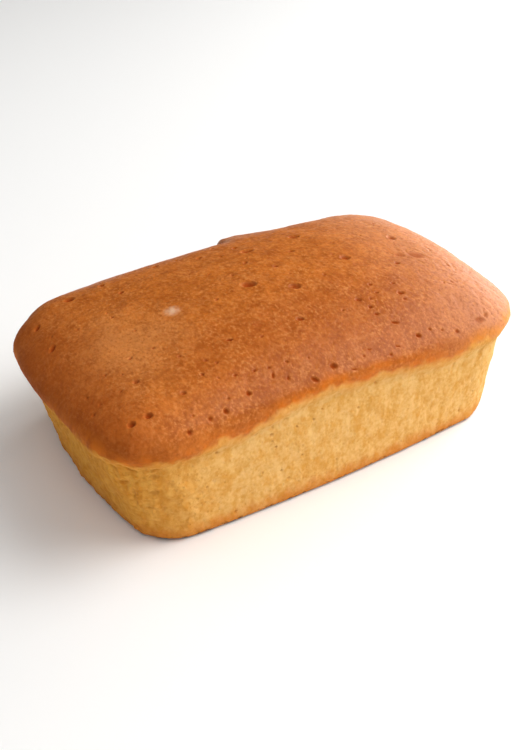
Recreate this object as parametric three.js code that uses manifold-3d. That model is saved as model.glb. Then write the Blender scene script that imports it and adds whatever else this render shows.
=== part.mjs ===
// A small butter cake, baked in a paper-lined oblong tin: one solid sponge with
// a flat foot, leaning walls, a brim that swells out over the walls, and a domed
// crust pitted by burst bubbles.
//
// Millimetres. X runs along the cake, Y across it and +Z up. The origin is the
// middle of the cake seen from above, at the level of its foot, and the long side
// at -Y is the front.

import * as THREE from 'three';
import { mergeVertices } from 'three/addons/utils/BufferGeometryUtils.js';
import Module from 'manifold-3d';

// ---------------------------------------------------------------- dimensions

// Two outlines seen from above: rounded oblongs whose ends and sides bow outwards,
// or, where the bow is negative, inwards.
const FOOT = { halfLength: 42.4, halfWidth: 29.5, corner: 7.7, endBow: 3.9, sideBow: 2.0 };
const WALL_TOP = { halfLength: 47.4, halfWidth: 32.4, corner: 10.5, endBow: 3.5, sideBow: -1.0 };

const FOOT_EDGE = 1.5;          // radius of the soft edge round the foot
const BRIM_HEIGHT = 24.2;       // mean height of the widest line
const BRIM_OUT = 1.4;           // how far the brim swells out over the wall
const BRIM_DEPTH = 2.2;         // height over which it swells
// The widest line rises in the middle of the front, dips right of the middle of
// the back and falls towards the back corners. Places and lengths of the waves
// are in half lengths of the cake; `from` is where they start across it, in half
// widths.
const FRONT_WAVE = { height: 1.5, crest: 0, length: 1.25, cornerShare: 0.3, from: 0.4 };
const BACK_WAVE = { depth: 2.2, trough: 0.38, length: 2, from: -0.4 };
const BACK_FALL = 2.4;
const BRIM_TWIST = 1.0;

const SHOULDER = 13.3;          // plan width over which the crust turns level
const SHOULDER_POWER = 2.25;    // fullness of that turn: 2 would be a round arc
const RING = 3.0;               // part of the shoulder that the side faces carry
const RING_EASE = 1.5;          // its rows of cells lie closer towards the brim
const CROWN_HEIGHT = 31.7;      // height of the crust where the dome starts
const DOME = 4.0;               // extra height at the middle
const DOME_REACH = { x: 50.4, y: 29.0 };
// The dome leans and sags a little: height = sum of these by powers of x and y,
// measured in half lengths and half widths of the cake.
const LEAN = { x: 1.1, y: 0.3, xx: -2.3, yy: -0.8, xy: 0.6, xxy: -1.2, xyy: -2.8 };
const LEAN_SPAN = { x: 50, y: 33 };

// The outline is uneven: so many waves round the cake, their size and their turn.
// The middle of the front is straight, from this share of the half width on.
const STRAIGHT_FROM = 0.3;
const UNEVEN = [
  { waves: 2, size: 0.65, turn: 62 },
  { waves: 3, size: 0.4, turn: -11 },
  { waves: 4, size: 0.4, turn: -128 },
  { waves: 5, size: 0.25, turn: 132 },
];

// A lip of crust that ran over the edge of the tin at the back.
const LIP = { out: 3.8, start: 6, full: 8.5, fade: 11, end: 25, from: 0.6 };

// Burst bubbles that stand out: place on the crust, length, width, and the turn
// of the length in degrees.
const BUBBLES = [
  [-44, -27, 1.8, 1.7, 0], [-40.5, -27, 1.9, 1.7, 0], [-35, -32.5, 1.4, 1.5, 0],
  [-38, -16.5, 1.5, 1.4, 0], [-32, -25, 1.7, 1.4, 0], [-45.5, 9, 2.4, 1.0, 40],
  [-45, 19.5, 2.0, 1.0, 40], [-35.5, 23.5, 2.4, 1.5, -30], [-27.5, 23.5, 1.7, 1.1, -30],
  [-26, 16, 1.4, 1.0, -30], [-20.5, -29.5, 1.5, 1.4, 0], [-26.5, -31, 1.4, 1.3, 0],
  [-30, -31.5, 1.3, 1.2, 0], [-17, -16.5, 1.7, 0.9, -30], [-21, -25.5, 1.2, 1.0, 0],
  [-26.5, -22.5, 1.1, 1.0, 0], [-4, -2, 4.0, 2.6, -30], [4, -8, 3.0, 2.0, -30],
  [4, 12.5, 3.0, 1.5, -30], [0.5, 7, 1.3, 1.2, 0], [5, 1.5, 1.4, 1.0, -30],
  [17.5, 13.5, 2.0, 1.6, -30], [12, 6, 1.5, 1.0, -30], [20.5, -3, 2.4, 1.9, -30],
  [-1, -18, 1.8, 1.3, -30], [37, 2, 1.7, 1.4, 0], [30, -9.5, 1.4, 1.0, -30],
  [36.5, -8, 3.6, 2.4, -30], [19, -14.5, 1.3, 1.1, 0], [23.5, -19.5, 1.8, 1.2, -20],
  [13.5, -18, 1.8, 1.5, -30], [14.5, -21, 1.3, 1.1, 0], [17, -26, 2.2, 0.9, -20],
  [20.5, -29.5, 1.5, 1.4, 0], [30, -31, 1.3, 1.1, 0], [36.5, -30.5, 2.2, 1.6, 0],
  [-1.5, -30.5, 1.8, 1.6, 0], [-6.5, -31.5, 2.2, 1.4, -40],
];
const BUBBLE_DEPTH = 0.75;      // depth of a bubble, as a share of its width
const BUBBLE_SIDES = 8;
const BUBBLE_RINGS = 6;
const PINHOLES = { count: 18, least: 0.9, most: 1.3, seed: 7, spread: { x: 46, y: 27 } };

// Number of cells along, across, and in each stage of a side face from the foot up.
const CELLS_ALONG = 36;
const CELLS_ACROSS = 24;
const STAGE_CELLS = { edge: 2, wall: 3, swell: 3, shoulder: 3 };
const SOLVE_STEPS = 12;         // steps that find the crust above a place
const SOLVE_REACH = 2.6;        // how far beyond the ring they may go
const SLOPE_STEP = 0.5;         // distance over which the crust's slope is taken

const CRUST_COLOUR = '#bf7238';
const CRUST_ROUGHNESS = 0.55;

// ---------------------------------------------------------------- the form

const UP = new THREE.Vector3(0, 0, 1);
const { lerp, clamp, smoothstep, degToRad } = THREE.MathUtils;

// The tin's outline at a height, between the foot and the top of the wall.
function outlineAt(height) {
  const share = height / BRIM_HEIGHT;
  const between = (name) => lerp(FOOT[name], WALL_TOP[name], share);
  return {
    halfLength: between('halfLength'),
    halfWidth: between('halfWidth'),
    corner: between('corner'),
    endBow: between('endBow'),
    sideBow: between('sideBow'),
  };
}

// Where a place (u, v) of the square from -1 to 1 lies in an outline grown by `grow`.
function placeIn(outline, u, v, grow) {
  const a = outline.halfLength + grow;
  const b = outline.halfWidth + grow;
  const r = Math.max(outline.corner + grow, 1);
  const overX = Math.max(Math.abs(u) * a - (a - r), 0);
  const overY = Math.max(Math.abs(v) * b - (b - r), 0);
  const reach = Math.hypot(overX, overY);
  const pull = reach > 0 ? Math.max(overX, overY) / reach : 1;
  const x = Math.sign(u) * (Math.min(Math.abs(u) * a, a - r) + overX * pull);
  const y = Math.sign(v) * (Math.min(Math.abs(v) * b, b - r) + overY * pull);
  const along = x / a;
  const across = y / b;
  return {
    x: x + outline.endBow * along * (1 - across ** 2),
    y: y + outline.sideBow * across * (1 - along ** 2),
  };
}

// How far the outline stands out or in at a place round the cake.
function unevenness(u, v) {
  const round = Math.atan2(v, u);
  const wave = ({ waves, size, turn }) => size * Math.cos(waves * round - degToRad(turn));
  const straight = smoothstep(-v, STRAIGHT_FROM, 1) * (1 - u ** 4);
  return (1 - straight) * UNEVEN.reduce((sum, each) => sum + wave(each), 0);
}

// How far the lip of spilt crust stands out at the back.
function lipOut(u, v) {
  const x = u * LEAN_SPAN.x;
  const rise = smoothstep(x, LIP.start, LIP.full);
  const fade = 1 - smoothstep(x, LIP.fade, LIP.end);
  return LIP.out * rise * fade * smoothstep(v, LIP.from, 1);
}

// Height of the widest line, where the brim turns into the shoulder.
function brimHeight(u, v) {
  const front = smoothstep(-v, FRONT_WAVE.from, 1) * lerp(1, FRONT_WAVE.cornerShare, u ** 4);
  const back = smoothstep(v, BACK_WAVE.from, 1);
  const rise = FRONT_WAVE.height * Math.cos(2 * Math.PI * (u - FRONT_WAVE.crest) / FRONT_WAVE.length);
  const dip = BACK_WAVE.depth * Math.cos(2 * Math.PI * (u - BACK_WAVE.trough) / BACK_WAVE.length);
  const fall = BACK_FALL * u ** 2 * (1 + v) / 2;
  return BRIM_HEIGHT + rise * front - dip * back - fall + BRIM_TWIST * u * v;
}

// Height of the dome above a place, before the shoulder pulls it down.
function crownHeight(x, y) {
  const arch = (place, reach) => Math.max(1 - (place / reach) ** 2, 0);
  const dome = DOME * arch(x, DOME_REACH.x) * arch(y, DOME_REACH.y);
  const p = x / LEAN_SPAN.x;
  const q = y / LEAN_SPAN.y;
  const lean = LEAN.x * p + LEAN.y * q + LEAN.xx * p * p + LEAN.yy * q * q
    + LEAN.xy * p * q + LEAN.xxy * p * p * q + LEAN.xyy * p * q * q;
  return CROWN_HEIGHT + dome + lean;
}

// The crust's height at a plan distance `inward` from the widest line.
function crustHeight(x, y, inward, brim) {
  const share = clamp(inward / SHOULDER, 0, 1);
  const turn = (1 - (1 - share) ** SHOULDER_POWER) ** (1 / SHOULDER_POWER);
  return lerp(brim, crownHeight(x, y), turn);
}

// A point of the crust; u and v run from -1 to 1 over the part inside the ring.
function crustPoint(u, v) {
  const brim = brimHeight(u, v);
  const outline = outlineAt(brim);
  const edge = Math.max(Math.abs(u), Math.abs(v));
  const grow = BRIM_OUT - RING + unevenness(u, v) * edge + lipOut(u, v);
  const fromEnd = (outline.halfLength + grow) * (1 - Math.abs(u));
  const fromSide = (outline.halfWidth + grow) * (1 - Math.abs(v));
  const { x, y } = placeIn(outline, u, v, grow);
  return new THREE.Vector3(x, y, crustHeight(x, y, RING + Math.min(fromEnd, fromSide), brim));
}

// A point of a side face: `stage` is 0 to 1 round the foot's edge, 1 to 2 up the
// wall, 2 to 3 out under the brim and 3 to 4 in over the start of the shoulder.
function sidePoint(u, v, stage) {
  const brim = brimHeight(u, v);
  const edge = clamp(stage, 0, 1) * Math.PI / 2;
  const under = brim - BRIM_DEPTH;
  const swell = smoothstep(stage, 2, 3);
  const inward = RING * clamp(stage - 3, 0, 1) ** RING_EASE;
  let height = FOOT_EDGE * (1 - Math.cos(edge));
  if (stage > 1) height = lerp(FOOT_EDGE, under, clamp(stage - 1, 0, 1));
  if (stage > 2) height = lerp(under, brim, clamp(stage - 2, 0, 1));
  const outline = outlineAt(height);
  const share = clamp(height / brim, 0, 1);
  const grow = BRIM_OUT * swell - FOOT_EDGE * (1 - Math.sin(edge)) - inward
    + unevenness(u, v) * share + lipOut(u, v) * swell;
  const { x, y } = placeIn(outline, u, v, grow);
  return new THREE.Vector3(x, y, stage > 3 ? crustHeight(x, y, inward, brim) : height);
}

// The stage that a row of points stands at, counted in cells from the foot.
function stageOfRow(row) {
  let cellsBelow = 0;
  let stage = 0;
  for (const cells of Object.values(STAGE_CELLS)) {
    stage += clamp((row - cellsBelow) / cells, 0, 1);
    cellsBelow += cells;
  }
  return stage;
}

// A box of cells, moulded point by point into the cake.
function cakeGeometry() {
  const rows = Object.values(STAGE_CELLS).reduce((sum, cells) => sum + cells, 0);
  const geometry = closedGeometry(new THREE.BoxGeometry(2, 2, rows, CELLS_ALONG, CELLS_ACROSS, rows));
  const position = geometry.getAttribute('position');
  for (let i = 0; i < position.count; i += 1) {
    const u = position.getX(i);
    const v = position.getY(i);
    const row = position.getZ(i) + rows / 2;
    const point = row > rows - 0.5 ? crustPoint(u, v) : sidePoint(u, v, stageOfRow(row));
    position.setXYZ(i, point.x, point.y, point.z);
  }
  return geometry;
}

// ---------------------------------------------------------------- bubbles

// The crust above a place (x, y), found by steps over the moulded square, which
// here reaches out to just inside the widest line.
function crustAbove(x, y) {
  const mostU = 1 + SOLVE_REACH / WALL_TOP.halfLength;
  const mostV = 1 + SOLVE_REACH / WALL_TOP.halfWidth;
  let u = x / WALL_TOP.halfLength;
  let v = y / WALL_TOP.halfWidth;
  let point = crustPoint(u, v);
  for (let step = 0; step < SOLVE_STEPS; step += 1) {
    u = clamp(u + (x - point.x) / WALL_TOP.halfLength, -mostU, mostU);
    v = clamp(v + (y - point.y) / WALL_TOP.halfWidth, -mostV, mostV);
    point = crustPoint(u, v);
  }
  return point;
}

// The direction straight out of the crust at a place.
function crustNormal(x, y) {
  const slopeX = crustAbove(x + SLOPE_STEP, y).z - crustAbove(x - SLOPE_STEP, y).z;
  const slopeY = crustAbove(x, y + SLOPE_STEP).z - crustAbove(x, y - SLOPE_STEP).z;
  return new THREE.Vector3(-slopeX, -slopeY, 2 * SLOPE_STEP).normalize();
}

// An egg-shaped hollow centred on the crust, as long and wide as its mouth.
function bubbleGeometry(x, y, length, width, turn) {
  const geometry = new THREE.SphereGeometry(0.5, BUBBLE_SIDES, BUBBLE_RINGS);
  geometry.rotateX(Math.PI / 2);
  geometry.scale(length, width, 2 * BUBBLE_DEPTH * width);
  geometry.rotateZ(degToRad(turn));
  geometry.applyQuaternion(new THREE.Quaternion().setFromUnitVectors(UP, crustNormal(x, y)));
  const { z } = crustAbove(x, y);
  geometry.translate(x, y, z);
  return closedGeometry(geometry);
}

// Numbers from 0 to 1 that are the same every time.
function* evenDraws(seed) {
  const multiplier = 16807;
  const modulus = 2 ** 31 - 1;
  let state = seed;
  while (true) {
    state = (state * multiplier) % modulus;
    yield state / modulus;
  }
}

// Small burst bubbles scattered over the crust, clear of the ones listed above.
function pinholes() {
  const draws = evenDraws(PINHOLES.seed);
  const draw = (low, high) => lerp(low, high, draws.next().value);
  const found = [];
  while (found.length < PINHOLES.count) {
    const x = draw(-PINHOLES.spread.x, PINHOLES.spread.x);
    const y = draw(-PINHOLES.spread.y, PINHOLES.spread.y);
    const size = draw(PINHOLES.least, PINHOLES.most);
    const clearOf = ([otherX, otherY, length]) => Math.hypot(x - otherX, y - otherY) > length + size;
    if ([...BUBBLES, ...found].every(clearOf)) found.push([x, y, size, size, 0]);
  }
  return found;
}

// ---------------------------------------------------------------- cutting

// Only the places of a geometry, with the vertices that its faces share merged.
function closedGeometry(geometry) {
  geometry.deleteAttribute('normal');
  geometry.deleteAttribute('uv');
  return mergeVertices(geometry);
}

const wasm = await Module();
wasm.setup();

function toSolid(geometry) {
  const vertProperties = new Float32Array(geometry.getAttribute('position').array);
  const triVerts = new Uint32Array(geometry.getIndex().array);
  return new wasm.Manifold(new wasm.Mesh({ numProp: 3, vertProperties, triVerts }));
}

function toGeometry(solid) {
  const { vertProperties, triVerts } = solid.getMesh();
  const geometry = new THREE.BufferGeometry();
  geometry.setAttribute('position', new THREE.BufferAttribute(vertProperties, 3));
  geometry.setIndex(new THREE.BufferAttribute(triVerts, 1));
  geometry.computeVertexNormals();
  return geometry;
}

// ---------------------------------------------------------------- the cake

const hollows = [...BUBBLES, ...pinholes()].map((bubble) => toSolid(bubbleGeometry(...bubble)));
const sponge = hollows.reduce((solid, hollow) => solid.subtract(hollow), toSolid(cakeGeometry()));

// The origin is the middle of the cake's box, seen from above.
const geometry = toGeometry(sponge);
geometry.computeBoundingBox();
const middle = geometry.boundingBox.getCenter(new THREE.Vector3());
geometry.translate(-middle.x, -middle.y, 0);

const crust = new THREE.MeshStandardMaterial({
  color: CRUST_COLOUR,
  roughness: CRUST_ROUGHNESS,
  metalness: 0,
});
const cake = new THREE.Mesh(geometry, crust);
cake.name = 'cake';

const group = new THREE.Group();
group.add(cake);

export default group;
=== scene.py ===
"""A small oblong butter cake on a pale floor, in soft window light.

The cake is one sponge. Its walls lean and carry faint marks of the paper that
lined the tin, its brim swells out over them, and its crust is domed, brown and
pitted by burst bubbles.

Sizes and places are in millimetres, with X along the cake, Y across it and Z up,
unless a name says otherwise. A finished mesh is in metres.
"""

from __future__ import annotations

import logging
import math
import random
from dataclasses import dataclass, field
from enum import Enum

import bmesh
import bpy
from mathutils import Matrix, Vector, kdtree, noise

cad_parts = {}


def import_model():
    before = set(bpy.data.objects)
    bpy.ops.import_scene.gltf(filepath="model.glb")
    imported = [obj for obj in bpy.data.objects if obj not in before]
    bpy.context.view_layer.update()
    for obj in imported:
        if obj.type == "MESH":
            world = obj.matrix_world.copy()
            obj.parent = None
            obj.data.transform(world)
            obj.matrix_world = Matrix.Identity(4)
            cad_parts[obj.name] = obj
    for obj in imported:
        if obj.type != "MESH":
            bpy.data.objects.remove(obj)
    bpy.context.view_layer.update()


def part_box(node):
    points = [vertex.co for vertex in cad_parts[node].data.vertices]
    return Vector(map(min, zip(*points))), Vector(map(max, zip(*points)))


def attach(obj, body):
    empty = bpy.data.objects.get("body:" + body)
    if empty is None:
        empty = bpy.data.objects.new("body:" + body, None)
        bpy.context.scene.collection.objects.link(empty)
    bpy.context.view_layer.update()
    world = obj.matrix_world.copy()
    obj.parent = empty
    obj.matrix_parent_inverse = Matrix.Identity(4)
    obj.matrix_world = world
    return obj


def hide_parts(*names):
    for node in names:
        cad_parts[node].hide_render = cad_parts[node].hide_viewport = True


LOG = logging.getLogger("butter_cake")

MM = 0.001
NODE = "cake"
BODY = "root"
# The share of its box that the cake fills, so that rounding never puts it outside.
FIT = 0.999999
# Two numbers nearer than this are the same one.
TINY = 1e-6

Colour = tuple[int, int, int]
Place = tuple[float, float, float]
# Where a number starts and stops counting and, of four, what it becomes there.
Range = tuple[float, ...]


class Axis(Enum):
    """A direction of the box of cells that the cake is moulded from."""

    ALONG = 0
    ACROSS = 1
    UP = 2


class Mark(Enum):
    """A number that the mesh carries at each vertex, for the finish to read."""

    CRUST_HEIGHT = "crust_height"
    # How much painted shade a vertex takes inside a hollow.
    HOLLOW_SHADE = "hollow"


# ------------------------------------------------------------------ arithmetic


def clamp(value: float, low: float, high: float) -> float:
    """Return the value, held between low and high."""
    return min(max(value, low), high)


def lerp(start: float, end: float, share: float) -> float:
    """Return the number that lies the given share of the way from start to end."""
    return start + (end - start) * share


def smoothstep(value: float, low: float, high: float) -> float:
    """Return 0 below low, 1 above high and a smooth rise between them."""
    share = clamp((value - low) / (high - low), 0.0, 1.0)
    return share * share * (3 - 2 * share)


def hump(value: float, middle: float, width: float) -> float:
    """Return a bell curve that is 1 at the middle and dies away over the width."""
    return math.exp(-(((value - middle) / width) ** 2))


# ------------------------------------------------------------------- the form


@dataclass(frozen=True)
class Outline:
    """A rounded oblong seen from above, whose ends and sides bow outwards."""

    half_length: float
    half_width: float
    corner: float
    end_bow: float
    side_bow: float
    least_corner: float = 1.0

    def towards(self, other: Outline, share: float) -> Outline:
        """Return the outline a share of the way from this one to the other.

        Args:
            other: The outline at a share of 1.
            share: How far towards the other one, from 0 to 1.

        Returns:
            The outline between the two.
        """
        return Outline(
            half_length=lerp(self.half_length, other.half_length, share),
            half_width=lerp(self.half_width, other.half_width, share),
            corner=lerp(self.corner, other.corner, share),
            end_bow=lerp(self.end_bow, other.end_bow, share),
            side_bow=lerp(self.side_bow, other.side_bow, share),
        )

    def place(self, u: float, v: float, grow: float) -> tuple[float, float]:
        """Find where a place of the square from -1 to 1 lies in the grown outline.

        Args:
            u: Place along the square.
            v: Place across the square.
            grow: How much larger than this outline the grown one is all round.

        Returns:
            The place's x and y.
        """
        a = self.half_length + grow
        b = self.half_width + grow
        r = max(self.corner + grow, self.least_corner)
        over_x = max(abs(u) * a - (a - r), 0.0)
        over_y = max(abs(v) * b - (b - r), 0.0)
        reach = math.hypot(over_x, over_y)
        pull = max(over_x, over_y) / reach if reach > 0 else 1.0
        x = math.copysign(min(abs(u) * a, a - r) + over_x * pull, u)
        y = math.copysign(min(abs(v) * b, b - r) + over_y * pull, v)
        along = x / a
        across = y / b
        return (
            x + self.end_bow * along * (1 - across**2),
            y + self.side_bow * across * (1 - along**2),
        )


@dataclass(frozen=True)
class Wave:
    """A wave of the outline: how many go round the cake, their size and turn."""

    waves: int
    size: float
    turn: float


@dataclass(frozen=True)
class Dome:
    """The crust's dome: its height, its reach, and how it leans and sags."""

    base: float = 31.7
    rise: float = 4.0
    reach_x: float = 50.4
    reach_y: float = 29.0
    span_x: float = 50.0
    span_y: float = 33.0
    lean_x: float = 1.1
    lean_y: float = 0.3
    sag_xx: float = -2.3
    sag_yy: float = -0.8
    twist_xy: float = 0.6
    twist_xxy: float = -1.2
    twist_xyy: float = -2.8

    def height(self, x: float, y: float) -> float:
        """Find the dome's height above a place, before the shoulder lowers it.

        Args:
            x: Place along the cake.
            y: Place across it.

        Returns:
            The height.
        """
        arch = max(1 - (x / self.reach_x) ** 2, 0.0) * max(1 - (y / self.reach_y) ** 2, 0.0)
        p = x / self.span_x
        q = y / self.span_y
        lean = self.lean_x * p + self.lean_y * q + self.sag_xx * p * p + self.sag_yy * q * q
        twist = self.twist_xy * p * q + self.twist_xxy * p * p * q + self.twist_xyy * p * q * q
        return self.base + self.rise * arch + lean + twist


@dataclass(frozen=True)
class Brim:
    """The widest line of the cake, where the wall ends and the shoulder starts."""

    height: float = 24.2
    out: float = 1.4
    depth: float = 3.8
    front_rise: float = 1.5
    front_length: float = 1.25
    front_from: float = 0.4
    front_corner_share: float = 0.3
    back_dip: float = 2.2
    back_trough: float = 0.38
    back_length: float = 2.0
    back_from: float = -0.4
    back_fall: float = 2.4
    twist: float = 1.0

    def line(self, u: float, v: float) -> float:
        """Find the widest line's height at a place round the square.

        Args:
            u: Place along the square from -1 to 1.
            v: Place across it.

        Returns:
            The height.
        """
        front = smoothstep(-v, self.front_from, 1) * lerp(1, self.front_corner_share, u**4)
        back = smoothstep(v, self.back_from, 1)
        rise = self.front_rise * math.cos(2 * math.pi * u / self.front_length)
        dip = self.back_dip * math.cos(2 * math.pi * (u - self.back_trough) / self.back_length)
        fall = self.back_fall * u**2 * (1 + v) / 2
        return self.height + rise * front - dip * back - fall + self.twist * u * v


@dataclass(frozen=True)
class Lip:
    """A lip of crust that ran over the edge of the tin at the back."""

    out: float = 3.8
    start: float = 6.0
    full: float = 8.5
    fade: float = 11.0
    end: float = 25.0
    beyond: float = 0.6
    span: float = 50.0

    def reach(self, u: float, v: float) -> float:
        """Find how far the lip stands out at a place round the square.

        Args:
            u: Place along the square from -1 to 1.
            v: Place across it.

        Returns:
            How far it stands out.
        """
        x = u * self.span
        rise = smoothstep(x, self.start, self.full)
        fade = 1 - smoothstep(x, self.fade, self.end)
        return self.out * rise * fade * smoothstep(v, self.beyond, 1)


@dataclass(frozen=True)
class CakeForm:
    """The smooth form of the cake, as places of a square and stages of its side.

    A side's stages run from 0 to 1 round the edge of the foot, to 2 up the wall,
    to 3 out under the brim and to 4 in over the start of the shoulder.
    """

    foot: Outline = Outline(42.4, 29.5, 7.7, 3.9, 2.0)
    wall_top: Outline = Outline(47.4, 32.4, 10.5, 3.5, -1.0)
    foot_edge: float = 1.5
    brim: Brim = Brim()
    lip: Lip = Lip()
    dome: Dome = Dome()
    shoulder: float = 13.3
    shoulder_power: float = 2.25
    ring: float = 3.0
    ring_ease: float = 1.5
    straight_from: float = 0.3
    uneven: tuple[Wave, ...] = (
        Wave(2, 0.65, 62),
        Wave(3, 0.4, -11),
        Wave(4, 0.4, -128),
        Wave(5, 0.25, 132),
    )
    solve_steps: int = 12
    solve_reach: float = 2.6

    def outline(self, height: float) -> Outline:
        """Return the tin's outline at a height."""
        return self.foot.towards(self.wall_top, height / self.brim.height)

    def unevenness(self, u: float, v: float) -> float:
        """Find how far the outline stands out or in at a place round it.

        Args:
            u: Place along the square from -1 to 1.
            v: Place across it.

        Returns:
            How far it stands out, or in where it is below 0.
        """
        turn = math.atan2(v, u)
        straight = smoothstep(-v, self.straight_from, 1) * (1 - u**4)
        waves = (w.size * math.cos(w.waves * turn - math.radians(w.turn)) for w in self.uneven)
        return (1 - straight) * sum(waves)

    def crust_height(self, x: float, y: float, inward: float, brim: float) -> float:
        """Find the crust's height above a place.

        Args:
            x: Place along the cake.
            y: Place across it.
            inward: How far inside the widest line it lies, seen from above.
            brim: The widest line's height there.

        Returns:
            The height.
        """
        share = clamp(inward / self.shoulder, 0, 1)
        power = self.shoulder_power
        turn = (1 - (1 - share) ** power) ** (1 / power)
        return lerp(brim, self.dome.height(x, y), turn)

    def crust_point(self, u: float, v: float) -> Vector:
        """Find a point of the crust.

        Args:
            u: Place along the square that spans the crust inside the ring.
            v: Place across it.

        Returns:
            The point.
        """
        brim = self.brim.line(u, v)
        outline = self.outline(brim)
        edge = max(abs(u), abs(v))
        grow = self.brim.out - self.ring + self.unevenness(u, v) * edge + self.lip.reach(u, v)
        from_end = (outline.half_length + grow) * (1 - abs(u))
        from_side = (outline.half_width + grow) * (1 - abs(v))
        x, y = outline.place(u, v, grow)
        inward = self.ring + min(from_end, from_side)
        return Vector((x, y, self.crust_height(x, y, inward, brim)))

    def side_point(self, u: float, v: float, stage: float) -> Vector:
        """Find a point of a side.

        Args:
            u: Place along the square's edge.
            v: Place across it.
            stage: How far up the side, from 0 to 4.

        Returns:
            The point.
        """
        brim = self.brim.line(u, v)
        edge = clamp(stage, 0, 1) * math.pi / 2
        under = brim - self.brim.depth
        swell = smoothstep(stage, 2, 3)
        inward = self.ring * clamp(stage - 3, 0, 1) ** self.ring_ease
        height = self.foot_edge * (1 - math.cos(edge))
        if stage > 1:
            height = lerp(self.foot_edge, under, clamp(stage - 1, 0, 1))
        if stage > 2:
            height = lerp(under, brim, clamp(stage - 2, 0, 1))
        share = clamp(height / brim, 0, 1)
        grow = self.brim.out * swell - self.foot_edge * (1 - math.sin(edge)) - inward
        grow += self.unevenness(u, v) * share + self.lip.reach(u, v) * swell
        x, y = self.outline(height).place(u, v, grow)
        if stage > 3:
            height = self.crust_height(x, y, inward, brim)
        return Vector((x, y, height))

    def crust_above(self, x: float, y: float) -> Vector:
        """Find the crust above a place, by steps over the moulded square.

        Args:
            x: Place along the cake.
            y: Place across it.

        Returns:
            The point of the crust.
        """
        half_length = self.wall_top.half_length
        half_width = self.wall_top.half_width
        most_u = 1 + self.solve_reach / half_length
        most_v = 1 + self.solve_reach / half_width
        u = x / half_length
        v = y / half_width
        point = self.crust_point(u, v)
        for _ in range(self.solve_steps):
            u = clamp(u + (x - point.x) / half_length, -most_u, most_u)
            v = clamp(v + (y - point.y) / half_width, -most_v, most_v)
            point = self.crust_point(u, v)
        return point

    def girth_at(self, u: float, v: float) -> float:
        """Find how far round the outline a place at its edge lies.

        Args:
            u: Place along the square from -1 to 1.
            v: Place across it.

        Returns:
            The length of the way there from the front's left end.
        """
        a = self.wall_top.half_length
        b = self.wall_top.half_width
        if v <= -1:
            return (u + 1) * a
        if u >= 1:
            return 2 * a + (v + 1) * b
        if v >= 1:
            return 2 * a + 2 * b + (1 - u) * a
        return 4 * a + 2 * b + (1 - v) * b

    def girth(self) -> float:
        """Return the length of the whole way round the outline."""
        return 4 * (self.wall_top.half_length + self.wall_top.half_width)


# ------------------------------------------------------------ hollows and dents


@dataclass(frozen=True)
class Hollow:
    """A burst bubble, a pore or a dent, as wide and long as its mouth."""

    place: Place
    length: float
    width: float
    turn: float
    depth: float
    # How much painted shade its inside takes.
    shade: float
    softness: float = 1.0
    rim: float = 0.0
    rim_at: float = 1.15
    rim_width: float = 0.15
    shade_from: float = 1.1
    shade_over: float = 0.8

    def size(self) -> float:
        """Return the radius that holds the mouth."""
        return max(self.length, self.width) / 2

    def depth_at(self, share: float) -> float:
        """Return how deep it is at a share of its radius, or below 0 on its rim."""
        depth = self.depth * max(1 - share * share, 0) ** self.softness
        return depth - self.rim * hump(share, self.rim_at, self.rim_width)

    def shade_at(self, share: float) -> float:
        """Return how much painted shade it takes at a share of its radius."""
        return self.shade * smoothstep(self.shade_from - share, 0, self.shade_over)


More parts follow.
